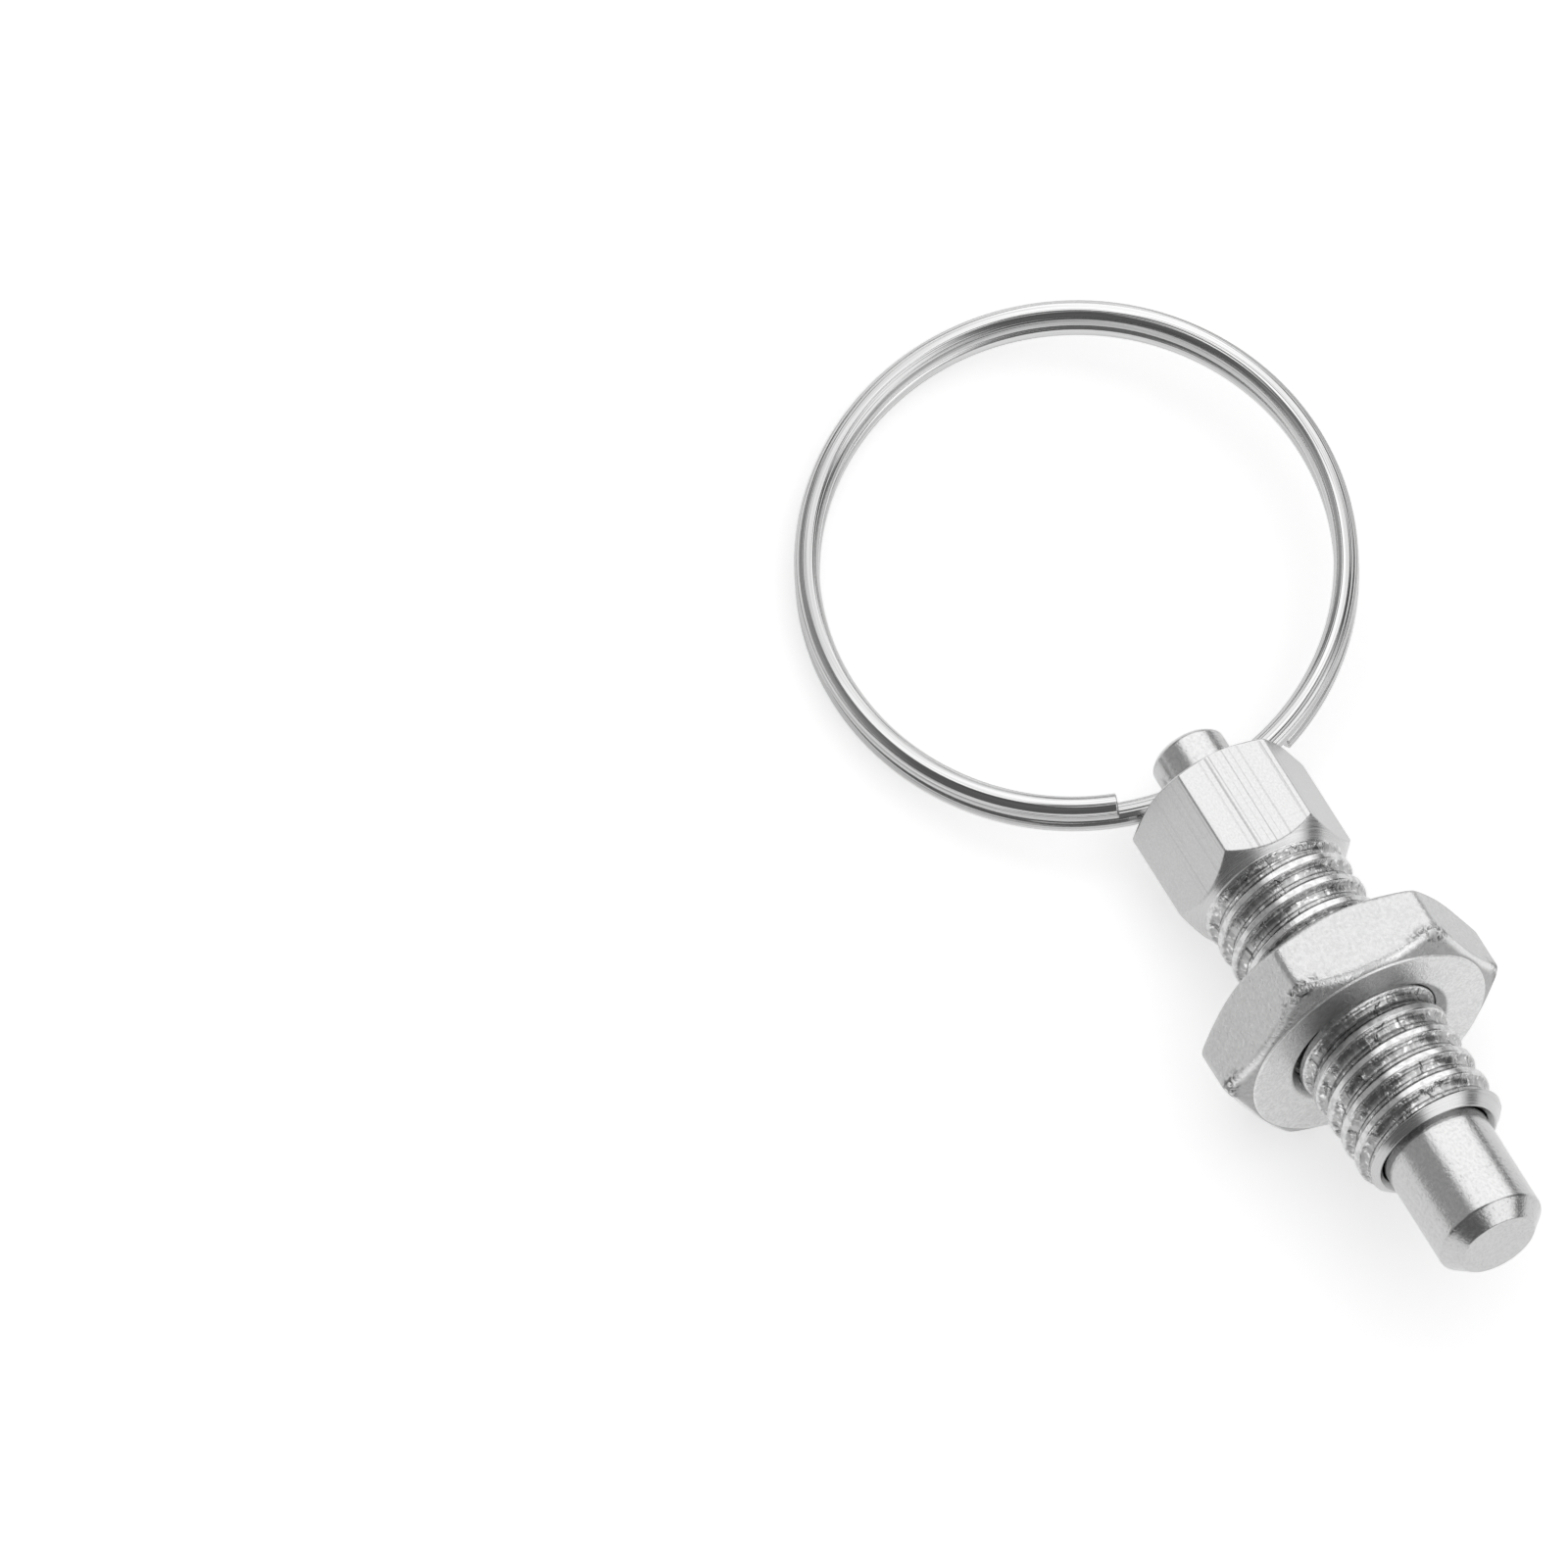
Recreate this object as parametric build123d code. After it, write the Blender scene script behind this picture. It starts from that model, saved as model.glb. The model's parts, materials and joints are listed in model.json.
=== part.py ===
"""Indexing plunger with a pull ring, lying on a table as it comes to rest.

Every piece is first drawn upright: the pin's axis is Z, z = 0 is the nose end of the threaded body,
and the ring end is up. Laid down, the plunger leans back on the rear edge of its lock nut and the
rear edge of its hexagon head. The pin has turned a little in the body, so that the ring lies askew,
and the ring has dropped until its low side meets the table.
Sizes are in millimetres.
"""
import math
import os

from build123d import *

# Threaded body
THREAD_D = 9.8           # over the crests of an M10 thread
BODY_LENGTH = 29.2       # from the nose end to the rear face of the hexagon head
HEX_LENGTH = 7.9         # threaded length ends where the cone under the head begins
HEX_AF = 10.5            # across the flats
HEAD_FACE_INSET = 0.1    # radial, rear face inside the flats
NOSE_CHAMFER = 0.75      # lead chamfer on the first thread
HEAD_CONE_ANGLE = 45     # underside of the head, from the axis
HEAD_CHAMFER_ANGLE = 30  # rear corners of the head, from the rear face
MOUTH_CHAMFER = 0.35     # inner edge of the bore
CHAMBER_LENGTH = 24.6    # wide bore for the pin and the spring, from the nose end

# Pin
PIN_D = 7.2
PIN_REACH = 7.9          # how far the nose stands out of the body
PIN_CHAMFER = 1.05
PIN_BEARING_LENGTH = 8.8  # thick part that stays inside the bore
PIN_CLEARANCE = 0.09     # radial, thick part to bore
SHAFT_D = 5.0
SHAFT_CLEARANCE = 0.06   # radial, thin part to the hole through the head
SHAFT_TAIL = 3.7         # length of the shaft behind the head
TAIL_CHAMFER = 0.35
SHOULDER_EDGE = 0.25     # broken edge of the shoulder

# Pull ring
RING_WIRE = 1.6
RING_WIRE_SIDES = 12     # the round wire is drawn with flat sides to keep its mesh small
RING_INNER_D = 32.0
TURN_GAP = 0.04          # air between the two turns
WIRE_PLAY = 0.24         # radial, wire to cross hole
WIRE_SEAT_GAP = 0.05     # wire to the rear face of the head
RING_END_ANGLE = 20      # from the cross hole to each end of the wire

# Return spring
SPRING_WIRE = 0.65
SPRING_COILS = 6         # in all
SPRING_END_COILS = 1     # closed, at each end
SPRING_COIL_GAP = 0.03   # air between the closed coils
SPRING_WIRE_SIDES = 5    # the hidden wire has fewer still
SPRING_PLAY = 0.12       # radial, coils to bore
SPRING_SEAT_GAP = 0.02   # each end to its seat

# Lock nut
NUT_AF = 17.0
NUT_THICKNESS = 5.0
NUT_CHAMFER_D = 16.4     # circle where the corner chamfer meets each face
NUT_CHAMFER_ANGLE = 30
NUT_BORE_GAP = 0.05      # radial, bore to thread crests
NUT_COUNTERSINK = 0.55
NUT_PLACE = 8.8          # nose end of the body to the near face of the nut

# Bent wire
ARCS_PER_TURN = 4        # a coil's centre line is a chain of tangent arcs

# Resting pose
PIN_TURN = -8            # of the pin and its ring in the body, from a level cross hole
TABLE_GAP = 0.04         # ring's low side to the table
CLEARANCE_STEPS = 340    # points looked at along each half of the ring's wire
SWING_HALVINGS = 40      # of the span in which the ring's swing is sought

THREAD_R = THREAD_D / 2
HEX_CORNER_R = HEX_AF / math.sqrt(3)
HEAD_START = BODY_LENGTH - HEX_LENGTH
HEAD_CONE_HEIGHT = (HEX_CORNER_R - THREAD_R) / math.tan(math.radians(HEAD_CONE_ANGLE))
HEAD_FACE_R = HEX_AF / 2 - HEAD_FACE_INSET
HEAD_CHAMFER_HEIGHT = (HEX_CORNER_R - HEAD_FACE_R) * math.tan(math.radians(HEAD_CHAMFER_ANGLE))
BORE_R = PIN_D / 2 + PIN_CLEARANCE
GUIDE_R = SHAFT_D / 2 + SHAFT_CLEARANCE
TAIL_END = BODY_LENGTH + SHAFT_TAIL

WIRE_R = RING_WIRE / 2
RING_R = RING_INNER_D / 2 + WIRE_R
RING_PITCH = RING_WIRE + TURN_GAP
CROSS_HOLE_R = WIRE_R + WIRE_PLAY
CROSS_HOLE_Z = BODY_LENGTH + WIRE_SEAT_GAP + WIRE_R

SPRING_R = BORE_R - SPRING_PLAY - SPRING_WIRE / 2

NUT_CORNER_R = NUT_AF / math.sqrt(3)
NUT_CHAMFER_SLOPE = math.tan(math.radians(NUT_CHAMFER_ANGLE))
NUT_CHAMFER_HEIGHT = (NUT_CORNER_R - NUT_CHAMFER_D / 2) * NUT_CHAMFER_SLOPE
NUT_BORE_R = THREAD_R + NUT_BORE_GAP


def turned(points):
    """Solid of revolution about Z from (radius, height) points that run along its outline."""
    outline = make_face(Polyline(*[(r, 0, z) for r, z in points], close=True))
    return revolve(outline, Axis.Z)


def hexagon_bar(across_flats, length):
    """Upright hexagonal bar with a flat towards -Y, the side that comes to lie on the table."""
    return extrude(RegularPolygon(across_flats / 2, 6, major_radius=False), length)


def make_housing():
    """Hollow threaded body and its hexagon head, turned from one bar."""
    outside = turned([
        (0, 0),
        (THREAD_R - NOSE_CHAMFER, 0),
        (THREAD_R, NOSE_CHAMFER),
        (THREAD_R, HEAD_START),
        (HEX_CORNER_R, HEAD_START + HEAD_CONE_HEIGHT),
        (HEX_CORNER_R, BODY_LENGTH - HEAD_CHAMFER_HEIGHT),
        (HEAD_FACE_R, BODY_LENGTH),
        (0, BODY_LENGTH),
    ])
    bore = turned([
        (0, 0),
        (BORE_R + MOUTH_CHAMFER, 0),
        (BORE_R, MOUTH_CHAMFER),
        (BORE_R, CHAMBER_LENGTH),
        (GUIDE_R, CHAMBER_LENGTH),
        (GUIDE_R, BODY_LENGTH),
        (0, BODY_LENGTH),
    ])
    return (outside & hexagon_bar(HEX_AF, BODY_LENGTH)) - bore


def make_pin():
    """Pin with a chamfered nose, a shoulder for the spring, and a shaft drilled for the ring."""
    body = turned([
        (0, -PIN_REACH),
        (PIN_D / 2 - PIN_CHAMFER, -PIN_REACH),
        (PIN_D / 2, -PIN_REACH + PIN_CHAMFER),
        (PIN_D / 2, PIN_BEARING_LENGTH - SHOULDER_EDGE),
        (PIN_D / 2 - SHOULDER_EDGE, PIN_BEARING_LENGTH),
        (SHAFT_D / 2, PIN_BEARING_LENGTH),
        (SHAFT_D / 2, TAIL_END - TAIL_CHAMFER),
        (SHAFT_D / 2 - TAIL_CHAMFER, TAIL_END),
        (0, TAIL_END),
    ])
    cross_hole = Pos(0, 0, CROSS_HOLE_Z) * Rot(0, 90, 0) * Cylinder(CROSS_HOLE_R, SHAFT_D * 2)
    return Rot(0, 0, PIN_TURN) * (body - cross_hole)


def coil_path(radius, turns, pitches):
    """Wire's centre line round Z from (radius, 0, 0), with its pitch given at each joint of the arcs."""
    arcs = len(pitches) - 1
    height = 0
    start = Vector(radius, 0, height)
    tangent = Vector(0, 2 * math.pi * radius, pitches[0])
    path = []
    for i in range(arcs):
        angle = 2 * math.pi * turns * (i + 1) / arcs
        height += (pitches[i] + pitches[i + 1]) / 2 * turns / arcs
        end = Vector(radius * math.cos(angle), radius * math.sin(angle), height)
        path.append(TangentArc(start, end, tangent=tangent))
        start = end
        tangent = path[-1] % 1
    return Wire(path)


def bent_wire(section, path):
    """Wire of this cross-section bent along the path."""
    return sweep(Plane(origin=path @ 0, z_dir=path % 0) * section, path=path)


def make_spring():
    """Compression spring with closed ends, between the pin's shoulder and the end of the wide bore."""
    bottom = PIN_BEARING_LENGTH + SPRING_SEAT_GAP + SPRING_WIRE / 2
    top = CHAMBER_LENGTH - SPRING_SEAT_GAP - SPRING_WIRE / 2
    closed = SPRING_END_COILS * ARCS_PER_TURN
    arcs = SPRING_COILS * ARCS_PER_TURN
    closed_pitch = SPRING_WIRE + SPRING_COIL_GAP
    closed_share = 2 * closed + 1
    open_pitch = ((top - bottom) * ARCS_PER_TURN - closed_share * closed_pitch) / (arcs - closed_share)
    end_pitches = [closed_pitch] * (closed + 1)
    pitches = end_pitches + [open_pitch] * (arcs - closed_share) + end_pitches
    path = coil_path(SPRING_R, SPRING_COILS, pitches)
    section = RegularPolygon(SPRING_WIRE / 2, SPRING_WIRE_SIDES)
    return Pos(0, 0, bottom) * bent_wire(section, path)


def make_lock_nut():
    """Thin hexagon nut, chamfered on both sides and countersunk at both mouths."""
    blank = turned([
        (0, 0),
        (NUT_CHAMFER_D / 2, 0),
        (NUT_CORNER_R, NUT_CHAMFER_HEIGHT),
        (NUT_CORNER_R, NUT_THICKNESS - NUT_CHAMFER_HEIGHT),
        (NUT_CHAMFER_D / 2, NUT_THICKNESS),
        (0, NUT_THICKNESS),
    ])
    bore = turned([
        (0, 0),
        (NUT_BORE_R + NUT_COUNTERSINK, 0),
        (NUT_BORE_R, NUT_COUNTERSINK),
        (NUT_BORE_R, NUT_THICKNESS - NUT_COUNTERSINK),
        (NUT_BORE_R + NUT_COUNTERSINK, NUT_THICKNESS),
        (0, NUT_THICKNESS),
    ])
    nut = (blank & hexagon_bar(NUT_AF, NUT_THICKNESS)) - bore
    return Pos(0, 0, NUT_PLACE) * nut


def hung(swing):
    """Ring's plane at this swing from the pin's axis, with X along its radius through the cross hole."""
    level = Plane(
        origin=(0, 0, CROSS_HOLE_Z),
        x_dir=(0, math.sin(swing), -math.cos(swing)),
        z_dir=(0, math.cos(swing), math.sin(swing)),
    )
    return Plane(Rot(0, 0, PIN_TURN) * level.location)


def ring_clearance(swing, lean, hole_height):
    """Height over the table of the ring's lowest point at this swing."""
    plane = hung(swing)
    up = Vector(0, math.cos(lean), -math.sin(lean))
    heights = []
    for i in range(-CLEARANCE_STEPS, CLEARANCE_STEPS + 1):
        turns = (1 - RING_END_ANGLE / 360) * i / CLEARANCE_STEPS
        angle = 2 * math.pi * turns
        radial = plane.x_dir.dot(up) * (math.cos(angle) - 1) + plane.y_dir.dot(up) * math.sin(angle)
        heights.append(RING_R * radial + RING_PITCH * turns * plane.z_dir.dot(up))
    return hole_height + min(heights) - WIRE_R


def rest_angles():
    """How far the plunger leans back, the ring's swing from the pin's axis, and the hole's height."""
    nut_edge_z = NUT_PLACE + NUT_THICKNESS - (NUT_AF - NUT_CHAMFER_D) / 2 * NUT_CHAMFER_SLOPE
    head_slope = math.tan(math.radians(HEAD_CHAMFER_ANGLE))
    head_edge_z = BODY_LENGTH - (HEX_AF / 2 - HEAD_FACE_R) * head_slope
    lean = math.atan((NUT_AF - HEX_AF) / 2 / (head_edge_z - nut_edge_z))
    hole_height = NUT_AF / 2 * math.cos(lean) - (CROSS_HOLE_Z - nut_edge_z) * math.sin(lean)
    raised = -math.pi / 4
    lowered = math.pi / 4
    for _ in range(SWING_HALVINGS):
        swing = (raised + lowered) / 2
        if ring_clearance(swing, lean, hole_height) > TABLE_GAP:
            raised = swing
        else:
            lowered = swing
    return lean, swing, hole_height


def make_ring(swing):
    """Split ring: two turns of round wire, whose middle passes through the pin's cross hole."""
    turn = 1 - RING_END_ANGLE / 360
    path = coil_path(RING_R, 2 * turn, [RING_PITCH] * (2 * ARCS_PER_TURN + 1))
    ring = bent_wire(RegularPolygon(WIRE_R, RING_WIRE_SIDES), path)
    ring = Pos(-RING_R, 0, -turn * RING_PITCH) * Rot(0, 0, RING_END_ANGLE) * ring
    return hung(swing).location * ring


def lay_down(upright, lean, hole_height):
    """Placement that lays the upright pieces on the table, pin axis over X, centred on the origin."""
    lying = Plane(
        origin=(0, 0, hole_height + CROSS_HOLE_Z * math.sin(lean)),
        x_dir=(0, 1, 0),
        z_dir=(math.cos(lean), 0, -math.sin(lean)),
    ).location
    boxes = [(lying * piece).bounding_box() for piece in upright.values()]
    middle_x = (min(box.min.X for box in boxes) + max(box.max.X for box in boxes)) / 2
    middle_y = (min(box.min.Y for box in boxes) + max(box.max.Y for box in boxes)) / 2
    return Pos(-middle_x, -middle_y, 0) * lying


def main():
    lean, swing, hole_height = rest_angles()
    upright = {
        "housing": make_housing(),
        "plunger_pin": make_pin(),
        "return_spring": make_spring(),
        "lock_nut": make_lock_nut(),
        "pull_ring": make_ring(swing),
    }
    placement = lay_down(upright, lean, hole_height)
    os.makedirs("parts", exist_ok=True)
    for name, piece in upright.items():
        export_step(placement * piece, f"parts/{name}.step")
    print(f"lean {math.degrees(lean):.2f} deg, ring swing {math.degrees(swing):.2f} deg")


main()
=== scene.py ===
"""Indexing plunger with a pull ring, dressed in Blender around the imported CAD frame.

Every piece is drawn upright, as in the CAD: the pin's axis is Z, z = 0 is the nose end of the threaded
body, and the ring end is up. UPRIGHT then lays it where the frame has it. Lengths are in metres, and
MM turns millimetres into them.
"""
import json
import math
from collections import namedtuple

import bmesh
import bpy
from mathutils import Matrix, Vector


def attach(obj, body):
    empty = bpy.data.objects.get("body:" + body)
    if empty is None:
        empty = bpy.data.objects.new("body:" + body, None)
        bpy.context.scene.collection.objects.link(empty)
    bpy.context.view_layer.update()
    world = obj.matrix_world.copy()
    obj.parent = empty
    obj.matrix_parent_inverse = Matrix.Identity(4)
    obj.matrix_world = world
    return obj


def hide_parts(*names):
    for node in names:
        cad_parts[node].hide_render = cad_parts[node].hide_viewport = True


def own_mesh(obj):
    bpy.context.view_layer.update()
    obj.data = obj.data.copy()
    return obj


bl_info = {
    "name": "Indexing Plunger",
    "version": (1, 0, 0),
    "blender": (4, 5, 0),
    "location": "View3D > Sidebar > Plunger",
    "description": "Dresses the CAD frame of an indexing plunger with threads, finishes and studio light",
    "category": "Object",
}

MM = 0.001

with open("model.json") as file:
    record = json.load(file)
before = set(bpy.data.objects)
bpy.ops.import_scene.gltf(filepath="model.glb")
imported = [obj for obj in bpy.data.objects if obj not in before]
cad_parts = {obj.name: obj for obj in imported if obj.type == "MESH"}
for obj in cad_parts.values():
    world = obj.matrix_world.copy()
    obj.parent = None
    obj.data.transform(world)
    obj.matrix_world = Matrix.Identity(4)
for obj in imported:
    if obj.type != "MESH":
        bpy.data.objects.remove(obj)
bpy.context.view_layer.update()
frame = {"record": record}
MOUNTS = {mount["name"]: mount for mount in frame["record"]["mounts"]}
JOINTS = {joint["name"]: joint for joint in frame["record"]["behaviour"]["joints"]}


def upright_to_frame():
    """Placement of the upright pieces, read from the frame's mounts."""
    axis = -Vector(MOUNTS["lock_face"]["axis"])
    nose = MOUNTS["index_nose"]
    origin = Vector(nose["pos_m"]) + axis * nose["dims"]["length_mm"] * MM / 2
    side = Vector((0, 1, 0))
    turn = Matrix((side, axis.cross(side), axis)).transposed()
    return Matrix.Translation(origin) @ turn.to_4x4()


def height_of(point):
    """How far along the pin's axis a point of the frame lies, from the nose end of the body."""
    return (UPRIGHT.inverted() @ Vector(point)).z


UPRIGHT = upright_to_frame()
RING_AXIS = UPRIGHT.inverted().to_3x3() @ Vector(JOINTS["ring_swing"]["axis"])
PIN_TURN = math.atan2(RING_AXIS.y, RING_AXIS.x)
RING_SWING = -math.radians(sum(JOINTS["ring_swing"]["range_deg"]) / 2)
HOLE_CENTRE = height_of(JOINTS["ring_swing"]["pos_m"])
CHAMBER_END = height_of(JOINTS["pin_spin"]["pos_m"])
NUT_FACE = height_of(MOUNTS["lock_face"]["pos_m"])
THREAD_DIAMETER_MM = 2 * MOUNTS["body_thread"]["dims"]["r_mm"]
NOSE_CHAMFER = NUT_FACE - MOUNTS["body_thread"]["dims"]["length_mm"] * MM
PIN_DIAMETER_MM = 2 * MOUNTS["index_nose"]["dims"]["r_mm"]

# Between one node and the next in a shader's tree
NODE_SPACING = 200
# Settings of a Mix node that multiplies a colour by a shade
SHADED = {"data_type": "RGBA", "blend_type": "MULTIPLY"}

# Columns of a hexagon: six corners, each with columns close enough together to round it
CORNER_ANGLES = (0, 0.45, 0.9, 1.35, 1.9, 2.6)
SIDE_STEPS = 18
ROUND_COLUMNS = 144
WIRE_COLUMNS = 40
DRILL_COLUMNS = 64
RING_STEPS = 320
STEPS_PER_COIL = 60
# The spring's climb is summed over this many samples to a coil
SAMPLES_PER_COIL = 48

ROUNDING_STEPS = 3
# A rounding takes up at most this share of the sides of its corner
ROUNDING_SHARE = 0.36
# A row of points this far out, against the rounding's own reach, keeps the faces beside it flat
EDGE_SUPPORT = 1.3
# Points closer than this are one point
SAME_PLACE = 1e-7

# Hexagon corners are chamfered at 30 degrees to the faces
CHAMFER_SLOPE = math.tan(math.radians(30))

# A corner of an outline: where it is, how far from it the rounding starts, and the finish after it
Corner = namedtuple("Corner", "radius height cut finish", defaults=(0, 0))


def linear(hex_colour):
    """Linear RGBA of an sRGB hex value."""
    parts = [int(hex_colour[i:i + 2], 16) / 255 for i in (1, 3, 5)]
    return [c / 12.92 if c <= 0.04045 else ((c + 0.055) / 1.055) ** 2.4 for c in parts] + [1.0]


def size(name, description, millimetres):
    """Length property with a default in millimetres."""
    return bpy.props.FloatProperty(
        name=name, description=description, default=millimetres * MM, min=0, unit="LENGTH", precision=5)


def angle(name, description, degrees):
    """Angle property with a default in degrees."""
    return bpy.props.FloatProperty(
        name=name, description=description, default=math.radians(degrees), unit="ROTATION")


def colour(name, description, hex_colour):
    """Colour property with an sRGB hex default."""
    return bpy.props.FloatVectorProperty(
        name=name, description=description, default=linear(hex_colour), size=4, subtype="COLOR")


class HousingSettings(bpy.types.PropertyGroup):
    """Threaded body with its hexagon head."""
    thread_diameter: size("Thread", "Diameter over the thread's crests", THREAD_DIAMETER_MM)
    thread_pitch: size("Pitch", "Height of one turn of the thread", 1.775)
    thread_depth: size("Thread depth", "Crest to root, measured along the radius", 0.5)
    crest_width: size("Crest", "Width of the flat crest", 0.44)
    thread_start: angle("Thread start", "Where the thread's crest begins, from the X axis", 289)
    length: size("Length", "Nose end to the rear face of the head", 29.2)
    head_length: size("Head", "Length of the head and the cone under it", 7.9)
    across_flats: size("Across flats", "Width of the head", 10.5)
    face_inset: size("Rear face inset", "How far the rear face stops inside the flats", 0.1)
    corner_rounding: size("Corner rounding", "Radius of the edges between the flats", 0.22)
    bore: size("Bore", "Diameter of the chamber for the pin", 7.38)
    mouth_chamfer: size("Mouth chamfer", "Broken edge of the bore's mouth", 0.35)
    guide: size("Guide hole", "Diameter of the hole through the head", 5.12)


class PinSettings(bpy.types.PropertyGroup):
    """Index pin with its shaft."""
    diameter: size("Diameter", "Thick part of the pin", PIN_DIAMETER_MM)
    reach: size("Reach", "How far the nose stands out of the body", 7.9)
    chamfer: size("Nose chamfer", "Height and width of the nose's chamfer", 1.05)
    bearing: size("Bearing", "Length of the thick part inside the bore", 8.8)
    shaft: size("Shaft", "Diameter of the thin part", 5.0)
    tail: size("Tail", "Nose end of the body to the end of the shaft", 32.9)
    cross_hole: size("Cross hole", "Diameter of the hole for the ring", 2.08)


class NutSettings(bpy.types.PropertyGroup):
    """Thin hexagon lock nut."""
    across_flats: size("Across flats", "Width of the nut", 17.0)
    thickness: size("Thickness", "Near face to far face", 5.0)
    face_diameter: size("Face diameter", "Circle where the corner chamfer meets a face", 16.4)
    bore: size("Bore", "Diameter of the threaded hole's crests", 9.9)
    countersink: size("Countersink", "Width of the lead at each mouth", 0.55)
    face_step: size("Face step", "How far the face stands over the chamfer's start", 0.12)
    rolled_rim: size("Rolled rim", "Width of the rolled edge between the chamfer and the flats", 0.42)
    corner_rounding: size("Corner rounding", "Radius of the edges between the flats", 0.75)


class RingSettings(bpy.types.PropertyGroup):
    """Split pull ring of two turns."""
    wire: size("Wire", "Diameter of the wire", 1.58)
    mean_diameter: size("Mean diameter", "Ring through the middle of its wire", 33.59)
    turn_gap: size("Turn gap", "Air between the two turns", 0.06)
    end_angle: angle("End angle", "From the cross hole to each end of the wire", 20)


class SpringSettings(bpy.types.PropertyGroup):
    """Return spring round the shaft."""
    wire: size("Wire", "Diameter of the wire", 0.65)
    play: size("Play", "Air between the coils and the bore", 0.12)
    seat_gap: size("Seat gap", "Air between an end coil and its seat", 0.02)
    coils: bpy.props.IntProperty(name="Coils", description="Coils in all", default=6, min=3)


class FinishSettings(bpy.types.PropertyGroup):
    """Colours of the finishes."""
    turned_steel: colour("Turned steel", "Lathe-cut faces of the body", "#C4C4C4")
    drawn_steel: colour("Drawn steel", "Flats of the hexagon bar", "#C8C8C8")
    thread_crest: colour("Thread crest", "Crests left from the bar's turned skin", "#D2D2D2")
    # Painted shade: the grooves get a darker grey than the crests
    shaded_thread_groove: colour("Thread groove", "Cut flanks and roots", "#ACACAC")
    ground_steel: colour("Ground steel", "Pin", "#C4C4C4")
    nut_steel: colour("Nut steel", "Flats and corners of the lock nut", "#C0C0C0")
    faced_steel: colour("Faced steel", "Machined faces of the lock nut", "#DADADA")
    wire_steel: colour("Polished wire", "Pull ring", "#CCCCCC")
    spring_steel: colour("Spring steel", "Return spring", "#9A9A9A")
    paper: colour("Paper", "Floor", "#EEEEEE")


class StageSettings(bpy.types.PropertyGroup):
    """Camera, floor and light."""
    azimuth: angle("Azimuth", "Camera's bearing round the object", -134.6)
    elevation: angle("Elevation", "Camera's height above the horizon", 66.8)
    roll: angle("Roll", "Camera's turn about its line of sight", 18.6)
    picture_width: size("Picture width", "What the picture's width spans at the object", 97.6)
    distance: size("Distance", "Camera to the object", 4000)
    aim: bpy.props.FloatVectorProperty(
        name="Aim", description="From the nose end of the body to the point in the middle of the picture",
        default=(42.66 * MM, 22.0 * MM, -13.17 * MM), subtype="TRANSLATION", precision=5)
    floor_width: size("Floor width", "Side of the square floor", 3000)


def hexagon_radius(turn, across_flats, rounding):
    """Radius of a hexagon with rounded corners, one of them on the X axis."""
    from_corner = abs((turn + math.pi / 6) % (math.pi / 3) - math.pi / 6)
    from_flat = math.pi / 6 - from_corner
    arc_centre = (across_flats / 2 - rounding) / math.cos(math.pi / 6)
    tangent_point = Vector((arc_centre + rounding * math.cos(math.pi / 6), rounding / 2))
    if from_corner < math.atan2(tangent_point.y, tangent_point.x):
        sideways = arc_centre * math.sin(from_corner)
        return arc_centre * math.cos(from_corner) + math.sqrt(rounding ** 2 - sideways ** 2)
    return across_flats / 2 / math.cos(from_flat)


def hexagon_turns():
    """Angles of a hexagon's columns for one full turn, both ends included."""
    last = CORNER_ANGLES[-1]
    side = [last + (60 - 2 * last) * i / SIDE_STEPS for i in range(1, SIDE_STEPS)]
    sector = list(CORNER_ANGLES) + side + [60 - a for a in reversed(CORNER_ANGLES[1:])]
    return [math.radians(60 * k + a) for k in range(6) for a in sector] + [2 * math.pi]


def round_turns(columns=ROUND_COLUMNS):
    """Evenly spaced angles for one full turn, both ends included."""
    return [2 * math.pi * i / columns for i in range(columns + 1)]


def rounded(corners, closed):
    """Points of an outline whose corners are rounded, as (radius, height, finish)."""
    points = []
    for i, corner in enumerate(corners):
        here = Vector(corner[:2])
        before = Vector(corners[i - 1][:2]) - here
        after = Vector(corners[(i + 1) % len(corners)][:2]) - here
        cut = min(corner.cut, before.length * ROUNDING_SHARE, after.length * ROUNDING_SHARE)
        if cut <= 0 or (not closed and i in (0, len(corners) - 1)):
            points.append((here.x, here.y, corner.finish))
            continue
        start = here + before.normalized() * cut
        end = here + after.normalized() * cut
        flat_before = here + before.normalized() * cut * EDGE_SUPPORT
        flat_after = here + after.normalized() * cut * EDGE_SUPPORT
        finish_before = corners[i - 1].finish
        points.append((flat_before.x, flat_before.y, finish_before))
        for k in range(ROUNDING_STEPS + 1):
            t = k / ROUNDING_STEPS
            p = start * (1 - t) ** 2 + here * 2 * t * (1 - t) + end * t ** 2
            points.append((p.x, p.y, corner.finish))
        points.append((flat_after.x, flat_after.y, corner.finish))
    return points


def revolved_mesh(name, turns, outline_at, closed):
    """Mesh whose section through the axis at each angle is that angle's outline.

    Rows may climb from column to column, as a thread's do: the last column then meets the first one
    turn further up, so the columns are joined by merging what lies in the same place.
    """
    made = bmesh.new()
    columns = []
    outlines = [outline_at(turn) for turn in turns]
    for turn, outline in zip(turns, outlines):
        columns.append([
            made.verts.new((r * math.cos(turn), r * math.sin(turn), z)) for r, z, _ in outline])
    rows = len(outlines[0])
    for left, right, outline in zip(columns, columns[1:], outlines):
        for k in range(rows if closed else rows - 1):
            n = (k + 1) % rows
            face = made.faces.new((left[k], right[k], right[n], left[n]))
            face.material_index = outline[k][2]
            face.smooth = True
    bmesh.ops.remove_doubles(made, verts=made.verts, dist=SAME_PLACE)
    bmesh.ops.dissolve_degenerate(made, edges=made.edges, dist=SAME_PLACE / 10)
    bmesh.ops.recalc_face_normals(made, faces=made.faces)
    mesh = bpy.data.meshes.new(name)
    made.to_mesh(mesh)
    made.free()
    return mesh


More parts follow.
